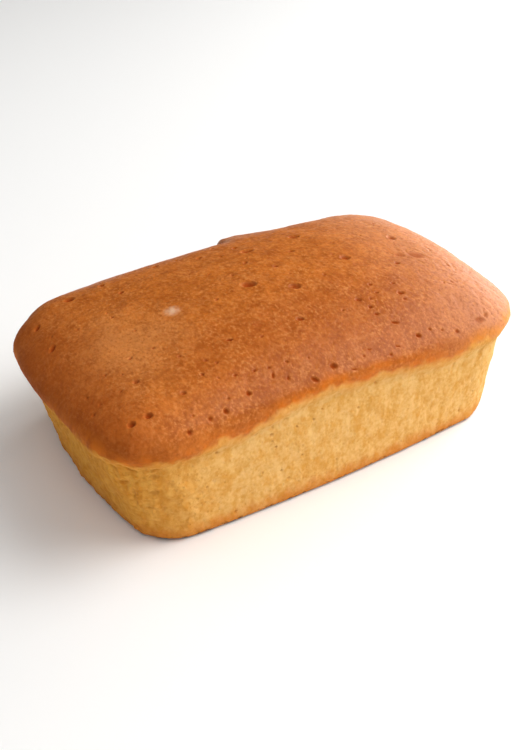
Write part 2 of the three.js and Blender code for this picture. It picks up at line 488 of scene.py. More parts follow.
@dataclass(frozen=True)
class Bubbles:
    """The burst bubbles of the crust.

    A listed bubble is its x, y, length, width, turn in degrees, depth as a share
    of its width, and how much painted shade it takes.
    """

    round_ones: tuple[tuple[float, ...], ...] = (
        (-44, -27, 1.8, 1.7, 0, 0.6, 1.0),
        (-40.5, -27, 1.9, 1.7, 0, 0.6, 1.0),
        (-35, -32.5, 1.3, 1.4, 0, 0.5, 1.0),
        (-38, -16.5, 1.5, 1.4, 0, 0.5, 0.7),
        (-32, -25, 1.5, 1.3, 0, 0.5, 0.6),
        (-20.5, -29.5, 1.4, 1.3, 0, 0.55, 1.0),
        (-26.5, -31, 1.4, 1.3, 0, 0.55, 1.0),
        (-30, -31.5, 1.2, 1.1, 0, 0.5, 0.9),
        (-21, -25.5, 1.1, 0.9, 0, 0.5, 0.9),
        (-26.5, -22.5, 1.0, 0.9, 0, 0.5, 0.8),
        (0.5, 7, 1.3, 1.1, 0, 0.5, 0.8),
        (37, 2, 2.2, 2.6, 0, 0.3, 0.8),
        (19, -14.5, 1.2, 1.0, 0, 0.5, 0.9),
        (14.5, -21, 1.2, 1.0, 0, 0.6, 1.0),
        (20.5, -29.5, 1.5, 1.2, 0, 0.6, 1.0),
        (30, -31, 1.3, 1.1, 0, 0.5, 0.8),
        (-1.5, -30.5, 1.8, 1.5, 0, 0.55, 1.0),
    )
    slanting_ones: tuple[tuple[float, ...], ...] = (
        (-45.5, 9, 2.4, 1.5, 40, 0.5, 1.2),
        (-45, 19.5, 2.2, 1.6, 40, 0.5, 1.1),
        (-35.5, 23.5, 2.9, 2.4, -30, 0.4, 1.1),
        (-27.5, 23.5, 1.8, 1.5, -30, 0.45, 1.1),
        (-26, 16, 1.4, 1.3, -30, 0.5, 1.0),
        (-17, -16.5, 1.7, 0.8, -30, 0.7, 1.3),
        (-4, -2, 3.9, 2.6, -30, 0.42, 1.1),
        (4, -8, 3.0, 2.2, -30, 0.36, 0.8),
        (4, 12.5, 3.2, 2.3, -30, 0.4, 0.9),
        (5, 1.5, 1.6, 1.2, -30, 0.45, 0.8),
        (17.5, 13.5, 2.8, 2.2, -30, 0.4, 0.9),
        (12, 6, 1.7, 1.3, -30, 0.5, 0.9),
        (20.5, -3, 2.6, 2.3, -30, 0.38, 0.9),
        (-1, -18, 2.0, 1.4, -30, 0.5, 1.0),
        (30, -9.5, 1.5, 1.2, -30, 0.5, 0.9),
        (23.5, -19.5, 1.9, 1.5, -20, 0.5, 0.9),
        (13.5, -18, 1.8, 1.3, -30, 0.5, 0.8),
        (17, -26, 2.2, 0.8, -20, 0.6, 1.0),
        (-6.5, -31.5, 2.2, 1.2, -40, 0.55, 1.1),
    )
    fine_ones: tuple[tuple[float, ...], ...] = (
        (-32, 7.5, 0.9, 0.7, 0, 0.6, 0.9),
        (-32, 10, 0.8, 0.6, 30, 0.6, 0.8),
        (-39, 10, 0.9, 0.7, 0, 0.5, 0.6),
        (-41.5, -9.5, 0.8, 0.6, 0, 0.6, 0.9),
        (-46, -17, 0.8, 0.6, 0, 0.5, 0.8),
        (-30.5, -1, 0.8, 0.6, 0, 0.5, 0.8),
        (-30.5, -9, 0.8, 0.7, 0, 0.6, 1.0),
        (-14.5, 22.5, 1.9, 1.6, -30, 0.4, 0.9),
        (3.5, 17, 1.5, 1.5, -20, 0.4, 0.9),
        (-5.5, 18, 1.6, 1.5, -30, 0.4, 0.7),
        (-11, -19, 0.9, 0.7, 0, 0.6, 0.9),
        (-22.5, -21, 0.8, 0.7, 0, 0.6, 0.8),
        (-17, -26, 1.0, 0.7, 30, 0.6, 0.9),
        (-14, -26.5, 0.8, 0.6, 0, 0.6, 0.9),
        (-14, -28, 1.8, 0.7, 60, 0.6, 1.0),
        (-11.5, -29.5, 1.4, 0.7, 60, 0.5, 0.8),
        (42, -6.5, 1.0, 0.8, 0, 0.5, 0.6),
        (41, -14, 1.3, 0.7, -60, 0.5, 0.6),
        (37, -20, 1.2, 0.7, -60, 0.5, 0.6),
        (47, -22.5, 1.4, 0.8, -60, 0.5, 0.6),
        (24, -16, 1.2, 0.9, -20, 0.5, 0.8),
        (23, -21.5, 1.0, 0.7, -20, 0.6, 1.0),
        (14.5, -23, 1.3, 0.8, -20, 0.6, 1.0),
        (18.5, -17.5, 1.2, 0.8, -20, 0.5, 0.8),
        (26.5, -30, 0.9, 0.7, 0, 0.5, 0.8),
        (14.5, -30.5, 1.6, 0.5, -20, 0.7, 1.2),
        (12, -31.5, 0.9, 0.6, 0, 0.6, 1.0),
        (8, -29.5, 1.4, 0.5, -20, 0.7, 1.1),
        (6, -30.5, 0.8, 0.6, 0, 0.6, 0.9),
        (2.5, -32, 1.6, 0.5, -20, 0.7, 1.1),
    )
    dents: tuple[tuple[float, ...], ...] = (
        (-9.5, -15.5, 3.6, 2.6, -20, 0.14, 0.25),
        (22, -7, 4.6, 2.4, -30, 0.14, 0.25),
        (36.5, -8, 5.4, 3.6, -30, 0.3, 0.6),
        (33.0, -6.5, 3.2, 2.4, -30, 0.2, 0.5),
        (36.5, -30.5, 3.2, 1.8, -10, 0.35, 0.4),
        (38.5, -30.0, 1.7, 1.2, 30, 0.3, 0.4),
    )
    rim: float = 0.015
    softness: float = 1.2
    depth_share: float = 0.65
    dent_softness: float = 2.0
    scattered: int = 40
    widths: tuple[float, float] = (0.5, 0.85)
    longest: float = 1.5
    most_turn: float = 60.0
    scattered_depth: float = 0.4
    scattered_shade: float = 0.6
    clearance: float = 2.0
    reach_x: float = 48.0
    reach_y: float = 31.0
    seed: int = 11

    def hollows(self, form: CakeForm) -> list[Hollow]:
        """Place the bubbles on the crust.

        Args:
            form: The cake's form.

        Returns:
            The listed bubbles and the small ones scattered between them.
        """
        found = []
        for x, y, length, width, turn, depth, shade in (
            *self.round_ones, *self.slanting_ones, *self.fine_ones
        ):
            place = tuple(form.crust_above(x, y))
            sunk = self.depth_share * depth * width
            shape = (length, width, turn, sunk, shade, self.softness, self.rim * width)
            found.append(Hollow(place, *shape))
        for x, y, length, width, turn, depth, shade in self.dents:
            place = tuple(form.crust_above(x, y))
            found.append(Hollow(place, length, width, turn, depth, shade, self.dent_softness))
        return found + self.scatter(form, found)

    def scatter(self, form: CakeForm, others: list[Hollow]) -> list[Hollow]:
        """Scatter small bubbles clear of the others.

        Args:
            form: The cake's form.
            others: The bubbles to keep clear of.

        Returns:
            The small bubbles.
        """
        draws = random.Random(self.seed)
        found: list[Hollow] = []
        while len(found) < self.scattered:
            x = draws.uniform(-self.reach_x, self.reach_x)
            y = draws.uniform(-self.reach_y, self.reach_y)
            width = draws.uniform(*self.widths)
            length = width * draws.uniform(1.0, self.longest)
            turn = draws.uniform(-self.most_turn, self.most_turn)
            place = tuple(form.crust_above(x, y))
            room = self.clearance * width
            if all(math.dist(place, o.place) > o.size() + room for o in others + found):
                depth = self.scattered_depth * width
                found.append(Hollow(place, length, width, turn, depth, self.scattered_shade))
        return found


@dataclass(frozen=True)
class Pores:
    """The pores, dents and creases of the walls.

    A listed mark is its x, y, z, length, width, turn from level in degrees, depth
    and how much painted shade it takes.
    """

    creases: tuple[tuple[float, ...], ...] = (
        (-48.0, -25.5, 21.0, 4.0, 1.0, 8, 0.20, 0.30),
        (-46.0, -28.5, 21.5, 4.4, 1.1, -4, 0.24, 0.35),
        (-43.0, -30.5, 21.5, 4.0, 1.0, -12, 0.22, 0.35),
        (-47.0, -26.0, 17.0, 3.4, 1.2, 14, 0.30, 0.40),
        (-45.5, -27.0, 14.5, 4.6, 1.2, 82, 0.28, 0.40),
        (-45.0, -26.5, 11.5, 3.2, 1.1, 70, 0.22, 0.30),
        (-42.5, -30.5, 19.5, 2.4, 1.4, 0, 0.26, 0.35),
        (-42.5, -30.0, 15.0, 2.2, 1.7, 20, 0.34, 0.45),
        (-43.0, -28.5, 10.5, 2.4, 1.2, 10, 0.26, 0.40),
        (-41.0, -30.0, 10.0, 2.6, 1.1, 75, 0.26, 0.40),
        (-39.5, -31.5, 16.5, 2.8, 1.6, -50, 0.16, 0.20),
        (29.0, -31.5, 18.5, 4.2, 0.9, 84, 0.14, 0.20),
        (36.5, -31.5, 19.0, 2.6, 1.6, 70, 0.14, 0.25),
    )
    pores: tuple[tuple[float, ...], ...] = (
        (-29.5, -32.0, 20.0, 0.9, 0.8, 0, 0.5, 0.9),
        (-32.0, -31.5, 12.5, 0.8, 0.7, 0, 0.4, 0.7),
        (-17.0, -31.5, 19.0, 1.3, 1.1, 0, 0.45, 0.7),
        (-21.0, -31.5, 21.0, 1.8, 1.2, 0, 0.3, 0.4),
        (-13.5, -31.5, 21.5, 1.5, 1.0, 0, 0.2, 0.3),
        (-16.0, -31.5, 15.5, 0.8, 0.7, 0, 0.4, 0.6),
        (-11.0, -31.5, 18.5, 0.6, 0.6, 0, 0.4, 0.9),
        (-7.0, -31.5, 18.5, 0.7, 0.6, 0, 0.4, 0.9),
        (-5.0, -31.5, 20.5, 0.6, 0.6, 0, 0.3, 0.6),
        (-10.0, -31.5, 11.0, 0.8, 0.7, 0, 0.3, 0.5),
        (-15.0, -31.5, 9.0, 0.7, 0.6, 60, 0.4, 0.8),
        (-19.5, -31.5, 10.5, 0.9, 0.5, 60, 0.3, 0.5),
        (-13.5, -31.5, 6.5, 1.0, 0.8, 0, 0.3, 0.5),
        (-26.0, -31.0, 3.0, 1.2, 0.8, 30, 0.3, 0.9),
        (4.0, -31.5, 17.0, 0.9, 0.8, 60, 0.3, 0.5),
        (-51.0, -17.5, 21.5, 1.0, 0.8, 0, 0.3, 0.6),
    )
    softness: float = 1.5
    crease_share: float = 1.35
    scattered: int = 110
    stages: tuple[float, float] = (1.05, 2.3)
    least: float = 0.45
    most: float = 1.0
    longest: float = 1.5
    upright: float = 90.0
    depths: tuple[float, float] = (0.2, 0.4)
    shades: tuple[float, float] = (0.1, 0.45)
    seed: int = 23

    def hollows(self, form: CakeForm) -> list[Hollow]:
        """Place the listed marks and scatter pores over all the walls.

        Args:
            form: The cake's form.

        Returns:
            The marks.
        """
        found = []
        for x, y, z, length, width, turn, depth, shade in self.creases:
            sunk = self.crease_share * depth
            found.append(Hollow((x, y, z), length, width, turn, sunk, shade, self.softness))
        for x, y, z, length, width, turn, depth, shade in self.pores:
            found.append(Hollow((x, y, z), length, width, turn, depth, shade, self.softness))
        draws = random.Random(self.seed)
        for _ in range(self.scattered):
            round_share = draws.uniform(0, form.girth())
            u, v = self.edge_place(form, round_share)
            place = tuple(form.side_point(u, v, draws.uniform(*self.stages)))
            width = lerp(self.least, self.most, draws.random() ** 2)
            length = width * draws.uniform(1.0, self.longest)
            depth = width * draws.uniform(*self.depths)
            shade = draws.uniform(*self.shades)
            shape = (length, width, self.upright, depth, shade, self.softness)
            found.append(Hollow(place, *shape))
        return found

    def edge_place(self, form: CakeForm, way: float) -> tuple[float, float]:
        """Find the place on the square's edge a way round the outline.

        Args:
            form: The cake's form.
            way: How far round, in millimetres, from the front's left end.

        Returns:
            The place along and across the square.
        """
        a = form.wall_top.half_length
        b = form.wall_top.half_width
        if way < 2 * a:
            return way / a - 1, -1.0
        if way < 2 * a + 2 * b:
            return 1.0, (way - 2 * a) / b - 1
        if way < 4 * a + 2 * b:
            return 1 - (way - 2 * a - 2 * b) / a, 1.0
        return -1.0, 1 - (way - 4 * a - 2 * b) / b


# ------------------------------------------------------------------ the relief


@dataclass(frozen=True)
class Tongue:
    """A place round the cake where the brown of the crust runs lower, or stops higher."""

    x: float
    y: float
    width: float
    drop: float


@dataclass(frozen=True)
class Relief:
    """The low relief of the walls and the crust, and the line where they meet."""

    tongues: tuple[Tongue, ...] = (
        Tongue(-47.0, -31.0, 6.0, 1.3),
        Tongue(-36.0, -32.0, 3.5, 1.0),
        Tongue(-23.5, -32.0, 2.5, 1.3),
        Tongue(3.0, -32.0, 3.5, 1.5),
        Tongue(24.5, -32.0, 3.5, 1.5),
        Tongue(34.0, -32.0, 4.0, -0.5),
        Tongue(-48.0, -5.0, 4.5, 1.2),
        Tongue(-48.0, -21.0, 3.5, -0.8),
        Tongue(-51.5, 8.0, 9.0, 3.4),
        Tongue(48.0, 12.0, 5.0, 1.2),
        Tongue(30.0, 32.0, 6.0, 1.4),
        Tongue(-18.0, 32.0, 6.0, 1.2),
    )
    edge_wander: float = 1.1
    edge_wander_size: float = 6.0
    flutes: int = 158
    flute_depth: float = 0.05
    flute_patch: float = 9.0
    flute_drift: float = 1.6
    aside: Place = (7.0, 0.0, 0.0)
    crumb_swell: float = 0.2
    crumb_swell_size: float = 4.2
    crumb_cells: float = 0.13
    crumb_cell_size: float = 1.7
    crumb_grain: float = 0.04
    crumb_grain_size: float = 0.75
    quilted: tuple[float, float] = (26.0, 40.0)
    quilted_end: float = 2.9
    ridge: float = 0.22
    ridge_below: float = 1.5
    ridge_width: float = 0.9
    groove: float = 0.08
    groove_below: float = 3.4
    roll_usual: float = 0.6
    roll_varies: float = 0.8
    crust_swell: float = 0.16
    crust_swell_size: float = 9.0
    crust_ripple: float = 0.08
    crust_ripple_size: float = 3.0
    crust_pebble: float = 0.05
    crust_pebble_size: float = 1.2
    wrinkle_depth: float = 0.13
    wrinkle_gap: float = 1.9
    wrinkle_length: float = 5.0
    wrinkle_slant: float = 0.2
    wrinkle_bend: float = 0.8
    wrinkle_bend_size: float = 6.0
    wrinkle_sharpness: float = 5.0
    wrinkle_level: float = 0.5
    wrinkled: tuple[float, float] = (16.0, 40.0)

    def edge_drop(self, x: float, y: float) -> float:
        """Find how far below the widest line the brown of the crust ends.

        Args:
            x: Place along the cake.
            y: Place across it.

        Returns:
            How far below, or above where it is below 0.
        """
        place = Vector((x, y, 0)) / self.edge_wander_size
        drop = self.edge_wander * noise.noise(place)
        for tongue in self.tongues:
            distance = math.hypot(x - tongue.x, y - tongue.y)
            drop += tongue.drop * hump(distance, 0, tongue.width)
        return drop

    def edge_roll(self, point: Vector, above: float) -> float:
        """Find the height of the rolled ridge and the groove below the crust's edge.

        Args:
            point: The place on the smooth wall.
            above: How high above the crust's edge it lies.

        Returns:
            The height.
        """
        patch = self.roll_usual + self.roll_varies * noise.noise(point / self.edge_wander_size)
        ridge = self.ridge * hump(above, -self.ridge_below, self.ridge_width)
        return patch * (ridge - self.groove * hump(above, -self.groove_below, self.ridge_width))

    def wall(self, point: Vector, way: float, girth: float) -> float:
        """Find how far the wall's relief stands out.

        Args:
            point: The place on the smooth wall.
            way: How far round the outline it lies.
            girth: The length of the whole way round.

        Returns:
            The height of the relief.
        """
        patch = 0.5 + 0.5 * noise.noise(point / self.flute_patch)
        drift = self.flute_drift * noise.noise(point / self.flute_patch + Vector(self.aside))
        flute = math.cos(2 * math.pi * self.flutes * way / girth + drift)
        cells = noise.noise(point / self.crumb_cell_size)
        grain = noise.noise(point / self.crumb_grain_size)
        swell = noise.noise(point / self.crumb_swell_size)
        quilted = lerp(1, self.quilted_end, smoothstep(-point.x, *self.quilted))
        cells = self.crumb_cells * cells + self.crumb_grain * grain
        return self.flute_depth * patch * flute + quilted * cells + self.crumb_swell * swell

    def crust(self, point: Vector) -> float:
        """Find how far the crust's relief stands out.

        Args:
            point: The place on the smooth crust.

        Returns:
            The height of the relief.
        """
        swell = noise.noise(point / self.crust_swell_size)
        ripple = noise.noise(point / self.crust_ripple_size)
        pebble = noise.noise(point / self.crust_pebble_size)
        across = (point.x + self.wrinkle_slant * point.y) / self.wrinkle_gap
        across += self.wrinkle_bend * noise.noise(point / self.wrinkle_bend_size)
        down = point.y / self.wrinkle_length
        line = noise.noise(Vector((across, down, self.wrinkle_level)))
        wrinkle = 1 - self.wrinkle_sharpness * abs(line)
        wrinkled = smoothstep(point.x, *self.wrinkled)
        return (
            self.crust_swell * swell
            + self.crust_ripple * ripple
            + self.crust_pebble * pebble
            - self.wrinkle_depth * wrinkled * max(wrinkle, 0)
        )


# -------------------------------------------------------------------- the mesh


@dataclass
class Cake:
    """The whole cake as one fine mesh."""

    form: CakeForm = field(default_factory=CakeForm)
    relief: Relief = field(default_factory=Relief)
    bubbles: Bubbles = field(default_factory=Bubbles)
    pores: Pores = field(default_factory=Pores)
    cells_along: int = 176
    cells_across: int = 119
    rows_edge: int = 4
    rows_wall: int = 35
    rows_swell: int = 6
    rows_shoulder: int = 7
    cuts_near_hollows: int = 2
    hollow_margin: float = 0.4
    hollow_reach: float = 1.5
    least_move: float = 1e-4
    steep: float = 0.5
    edge_zone: float = 8.0
    brown_range: tuple[float, float] = (-0.5, 0.6)
    smooth_foot: float = 1.5

    def rows(self) -> int:
        """Return the number of rows of cells up a side."""
        return self.rows_edge + self.rows_wall + self.rows_swell + self.rows_shoulder

    def stage_at(self, row: float) -> float:
        """Find the stage of the side that a row stands at.

        Args:
            row: The row, counted from the foot.

        Returns:
            The stage, from 0 to 4.
        """
        below = 0
        stage = 0.0
        for cells in (self.rows_edge, self.rows_wall, self.rows_swell, self.rows_shoulder):
            stage += clamp((row - below) / cells, 0, 1)
            below += cells
        return stage

    def mould(self, place: Vector) -> Vector:
        """Find where a place of the box of cells lies on the smooth cake.

        Args:
            place: The place, from -1 to 1 each way.

        Returns:
            The point of the cake.
        """
        if place.z > 1 - TINY:
            return self.form.crust_point(place.x, place.y)
        row = (place.z + 1) / 2 * self.rows()
        return self.form.side_point(place.x, place.y, self.stage_at(row))

    def box_of_cells(self) -> bmesh.types.BMesh:
        """Make a box without a bottom, divided into cells along each direction.

        Returns:
            The box, which reaches from -1 to 1 each way.
        """
        box = bmesh.new()
        bmesh.ops.create_cube(box, size=2)
        bottom = [f for f in box.faces if f.normal.z < -0.5]
        bmesh.ops.delete(box, geom=bottom, context="FACES_ONLY")
        counts = {
            Axis.ALONG: self.cells_along,
            Axis.ACROSS: self.cells_across,
            Axis.UP: self.rows(),
        }
        for axis, count in counts.items():
            edges = [
                e for e in box.edges
                if abs(e.verts[0].co[axis.value] - e.verts[1].co[axis.value]) > 1
            ]
            bmesh.ops.subdivide_edges(box, edges=edges, cuts=count - 1, use_grid_fill=True)
        return box

    def divide_near(self, box: bmesh.types.BMesh, hollows: list[Hollow]) -> None:
        """Divide the cells near the hollows once more.

        Args:
            box: The box of cells.
            hollows: The hollows.
        """
        box.verts.ensure_lookup_table()
        tree = kdtree.KDTree(len(box.verts))
        for vert in box.verts:
            tree.insert(self.mould(vert.co), vert.index)
        tree.balance()
        edges = set()
        for hollow in hollows:
            reach = hollow.size() + self.hollow_margin
            for _, index, _ in tree.find_range(hollow.place, reach):
                for face in box.verts[index].link_faces:
                    edges.update(face.edges)
        bmesh.ops.subdivide_edges(
            box, edges=list(edges), cuts=self.cuts_near_hollows, use_grid_fill=True
        )

    def carve(
        self, box: bmesh.types.BMesh, hollows: list[Hollow]
    ) -> tuple[dict[int, Vector], dict[int, float]]:
        """Work out how the hollows sink the vertices round them.

        Args:
            box: The moulded cake, with normals.
            hollows: The hollows.

        Returns:
            How far each vertex sinks, and how much painted shade it takes in a hollow.
        """
        box.verts.ensure_lookup_table()
        tree = kdtree.KDTree(len(box.verts))
        for vert in box.verts:
            tree.insert(vert.co, vert.index)
        tree.balance()
        sunk: dict[int, Vector] = {}
        inside: dict[int, float] = {}
        for hollow in hollows:
            centre, nearest, _ = tree.find(hollow.place)
            out = box.verts[nearest].normal
            level = Vector((0, 0, 1)).cross(out)
            along = level if out.z < self.steep else Vector((1, 0, 0))
            along = (along - out * along.dot(out)).normalized()
            across = out.cross(along)
            turn = math.radians(hollow.turn)
            length_way = along * math.cos(turn) + across * math.sin(turn)
            width_way = across * math.cos(turn) - along * math.sin(turn)
            for point, index, _ in tree.find_range(centre, hollow.size() * self.hollow_reach):
                offset = point - centre
                share = math.hypot(
                    2 * offset.dot(length_way) / hollow.length,
                    2 * offset.dot(width_way) / hollow.width,
                )
                depth = hollow.depth_at(share)
                if abs(depth) < self.least_move:
                    continue
                if index not in sunk or depth > sunk[index].length:
                    sunk[index] = out * -depth
                # The painted shade that the finish lays in the hollow.
                inside[index] = max(inside.get(index, 0), hollow.shade_at(share))
        return sunk, inside

    def shape_surface(
        self, cake: bmesh.types.BMesh, squares: list[Vector], hollows: list[Hollow]
    ) -> None:
        """Raise the relief, sink the hollows and write the marks for the finish.

        Args:
            cake: The moulded cake, with normals.
            squares: Where each vertex lay on the box of cells.
            hollows: The hollows.
        """
        form, relief = self.form, self.relief
        crust_height = cake.verts.layers.float.new(Mark.CRUST_HEIGHT.value)
        hollow_shade_mark = cake.verts.layers.float.new(Mark.HOLLOW_SHADE.value)
        sunk, inside = self.carve(cake, hollows)
        girth = form.girth()
        moves = []
        for vert, square in zip(cake.verts, squares):
            point = vert.co
            above = point.z - form.brim.line(square.x, square.y)
            if square.z < 1 - TINY or above < self.edge_zone:
                above += relief.edge_drop(point.x, point.y)
            vert[crust_height] = above
            # Painted shade for the finish inside the hollows.
            vert[hollow_shade_mark] = inside.get(vert.index, 0)
            brown = smoothstep(above, *self.brown_range)
            out = 0.0
            if brown < 1:
                way = form.girth_at(square.x, square.y)
                wall = relief.wall(point, way, girth) + relief.edge_roll(point, above)
                out += (1 - brown) * wall * smoothstep(point.z, 0.0, self.smooth_foot)
            if brown > 0:
                out += brown * relief.crust(point)
            moves.append(vert.normal * out + sunk.get(vert.index, Vector()))
        for vert, move in zip(cake.verts, moves):
            vert.co += move

    def mesh(self, low: Vector, high: Vector) -> bpy.types.Mesh:
        """Build the cake.

        Args:
            low: The lowest corner of the box that it fills, in metres.
            high: The highest corner.

        Returns:
            The mesh, in metres, with its marks.
        """
        hollows = self.bubbles.hollows(self.form) + self.pores.hollows(self.form)
        cake = self.box_of_cells()
        self.divide_near(cake, hollows)
        LOG.info("cells: %d faces, %d hollows", len(cake.faces), len(hollows))
        cake.verts.index_update()
        squares = [vert.co.copy() for vert in cake.verts]
        for vert in cake.verts:
            vert.co = self.mould(vert.co)
        cake.normal_update()
        self.shape_surface(cake, squares, hollows)
        self.close_foot(cake)
        self.settle(cake, low, high)
        mesh = bpy.data.meshes.new("cake_mesh")
        cake.to_mesh(mesh)
        cake.free()
        mesh.shade_smooth()
        return mesh

    def close_foot(self, cake: bmesh.types.BMesh) -> None:
        """Close the foot with one flat face.

        Args:
            cake: The moulded cake, open below.
        """
        rim = [e for e in cake.edges if e.is_boundary]
        for edge in rim:
            for vert in edge.verts:
                vert.co.z = 0
        made = bmesh.ops.edgeloop_fill(cake, edges=rim)
        for face in made["faces"]:
            face.normal_update()
            if face.normal.z > 0:
                face.normal_flip()

    def settle(self, cake: bmesh.types.BMesh, low: Vector, high: Vector) -> None:
        """Fit the cake exactly into its box, which turns it into metres.

        Args:
            cake: The cake in millimetres.
            low: The lowest corner of the box, in metres.
            high: The highest corner.
        """
        lowest = Vector(min(vert.co[i] for vert in cake.verts) for i in range(3))
        highest = Vector(max(vert.co[i] for vert in cake.verts) for i in range(3))
        span = highest - lowest
        room = high - low
        scale = Vector(FIT * room[i] / span[i] for i in range(3))
        LOG.info("fit into the box: %.4f %.4f %.4f of a millimetre", *(scale / MM))
        for vert in cake.verts:
            vert.co = low + (vert.co - lowest) * scale

    def build(self) -> bpy.types.Object:
        """Make the cake's object, in its place in the frame.

        Returns:
            The object, without a finish.
        """
        low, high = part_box(NODE)
        cake = bpy.data.objects.new("cake_sponge", self.mesh(Vector(low), Vector(high)))
        bpy.context.collection.objects.link(cake)
        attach(cake, BODY)
        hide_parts(NODE)
        return cake


# ---------------------------------------------------------------- the finishes

def linear(colour: Colour) -> tuple[float, float, float, float]:
    """Turn a colour of three screen values from 0 to 255 into linear light.

    Args:
        colour: The red, green and blue screen values.

    Returns:
        The linear colour, with full opacity.
    """
    def channel(value: float) -> float:
        """Return one channel in linear light."""
        share = value / 255
        return share / 12.92 if share <= 0.04045 else ((share + 0.055) / 1.055) ** 2.4

    return (*(channel(value) for value in colour), 1.0)


@dataclass(frozen=True)
class Pattern:
    """A soft noise.

    Its blotches have a size in millimetres and so many finer layers, so rough. A
    shift, in metres, moves it aside, so that patterns of one size differ.
    """

    size: float
    detail: float = 2.0
    rough: float = 0.5
    shift: float = 0.0


class Graph:
    """The nodes of one material."""

    def __init__(self, name: str) -> None:
        """Start a material with a Principled shader.

        Args:
            name: The material's name.
        """
        self.material = bpy.data.materials.new(name)
        self.material.use_nodes = True
        self.tree = self.material.node_tree
        self.tree.nodes.clear()
        self.shader = self.node("ShaderNodeBsdfPrincipled")
        output = self.node("ShaderNodeOutputMaterial")
        self.tree.links.new(self.shader.outputs["BSDF"], output.inputs["Surface"])
        self.place = self.node("ShaderNodeTexCoord").outputs["Object"]

    def node(self, kind: str, **settings: object) -> bpy.types.Node:
        """Add a node.

        Args:
            kind: The node's type.
            **settings: Its properties.

        Returns:
            The node.
        """
        node = self.tree.nodes.new(kind)
        for name, value in settings.items():
            setattr(node, name, value)
        return node

    def feed(self, socket: bpy.types.NodeSocket, value: object) -> None:
        """Link a socket to another one, or set it to a plain value.

        Args:
            socket: The input socket.
            value: An output socket, a number or a colour.
        """
        if isinstance(value, bpy.types.NodeSocket):
            self.tree.links.new(value, socket)
        else:
            socket.default_value = value

    def stretched(self, x: float, y: float, z: float) -> bpy.types.NodeSocket:
        """Scale each direction of the object's coordinates.

        Args:
            x: The scale along the cake.
            y: The scale across it.
            z: The scale upwards.

        Returns:
            The scaled coordinates.
        """
        mapping = self.node("ShaderNodeMapping")
        self.feed(mapping.inputs["Vector"], self.place)
        mapping.inputs["Scale"].default_value = (x, y, z)
        return mapping.outputs["Vector"]

    def shifted(self, amount: float) -> bpy.types.NodeSocket:
        """Move the object's coordinates aside, for another pattern of noise.

        Args:
            amount: How far they move each way, in metres.

        Returns:
            The moved coordinates.
        """
        mapping = self.node("ShaderNodeMapping")
        self.feed(mapping.inputs["Vector"], self.place)
        mapping.inputs["Location"].default_value = (amount, amount, amount)
        return mapping.outputs["Vector"]

    def noise(
        self, pattern: Pattern, place: bpy.types.NodeSocket | None = None
    ) -> bpy.types.NodeSocket:
        """Make soft noise.

        Args:
            pattern: Its size, fineness and shift.
            place: The coordinates that it reads, or none for the object's own.

        Returns:
            The noise, from 0 to 1.
        """
        if place is None:
            place = self.shifted(pattern.shift) if pattern.shift else self.place
        noisy = self.node("ShaderNodeTexNoise")
        self.feed(noisy.inputs["Vector"], place)
        noisy.inputs["Scale"].default_value = 1 / (pattern.size * MM)
        noisy.inputs["Detail"].default_value = pattern.detail
        noisy.inputs["Roughness"].default_value = pattern.rough
        return noisy.outputs[0]

    def cells(self, size: float) -> bpy.types.NodeSocket:
        """Make a pattern of round cells.

        Args:
            size: The distance between their middles, in millimetres.

        Returns:
            The distance from the nearest middle, in cells.
        """
        cell = self.node("ShaderNodeTexVoronoi")
        self.feed(cell.inputs["Vector"], self.place)
        cell.inputs["Scale"].default_value = 1 / (size * MM)
        return cell.outputs["Distance"]

    def mark(self, mark: Mark) -> bpy.types.NodeSocket:
        """Return a number that the mesh carries."""
        return self.node("ShaderNodeAttribute", attribute_name=mark.value).outputs["Fac"]

    def remap(
        self,
        value: bpy.types.NodeSocket,
        low: float,
        high: float,
        start: float = 0.0,
        end: float = 1.0,
    ) -> bpy.types.NodeSocket:
        """Turn a range of values smoothly into another one.

        Args:
            value: The value.
            low: Where the range starts.
            high: Where it ends.
            start: What low becomes.
            end: What high becomes.

        Returns:
            The new value.
        """
        ranged = self.node("ShaderNodeMapRange", interpolation_type="SMOOTHSTEP")
        names = ("Value", "From Min", "From Max", "To Min", "To Max")
        for name, number in zip(names, (value, low, high, start, end)):
            self.feed(ranged.inputs[name], number)
        return ranged.outputs["Result"]

    def math(self, operation: str, first: object, second: object) -> bpy.types.NodeSocket:
        """Work out an operation on two values.

        Args:
            operation: The operation's name.
            first: A number or a socket.
            second: A number or a socket.

        Returns:
            The result.
        """
        sums = self.node("ShaderNodeMath", operation=operation)
        self.feed(sums.inputs[0], first)
        self.feed(sums.inputs[1], second)
        return sums.outputs[0]

    def plus(self, first: object, second: object) -> bpy.types.NodeSocket:
        """Return the sum of two values."""
        return self.math("ADD", first, second)

    def times(self, first: object, second: object) -> bpy.types.NodeSocket:
        """Return the product of two values."""
        return self.math("MULTIPLY", first, second)

    def mix(self, share: object, first: object, second: object) -> bpy.types.NodeSocket:
        """Mix two colours.

        Args:
            share: How much of the second one.
            first: A colour or a socket.
            second: A colour or a socket.

        Returns:
            The mixed colour.
        """
        mixer = self.node("ShaderNodeMix", data_type="RGBA")
        self.feed(mixer.inputs[0], share)
        for socket, colour in ((mixer.inputs[6], first), (mixer.inputs[7], second)):
            self.feed(socket, linear(colour) if isinstance(colour, tuple) else colour)
        return mixer.outputs[2]

    def distance(self, place: Place) -> bpy.types.NodeSocket:
        """Measure how far a point is from a place.

        Args:
            place: The place, in millimetres.

        Returns:
            The distance, in metres.
        """
        apart = self.node("ShaderNodeVectorMath", operation="DISTANCE")
        self.feed(apart.inputs[0], self.place)
        apart.inputs[1].default_value = Vector(place) * MM
        return apart.outputs["Value"]

    def axis(self, name: str) -> bpy.types.NodeSocket:
        """Take one of the object's coordinates.

        Args:
            name: X, Y or Z.

        Returns:
            The coordinate, in metres.
        """
        split = self.node("ShaderNodeSeparateXYZ")
        self.feed(split.inputs[0], self.place)
        return split.outputs[name]


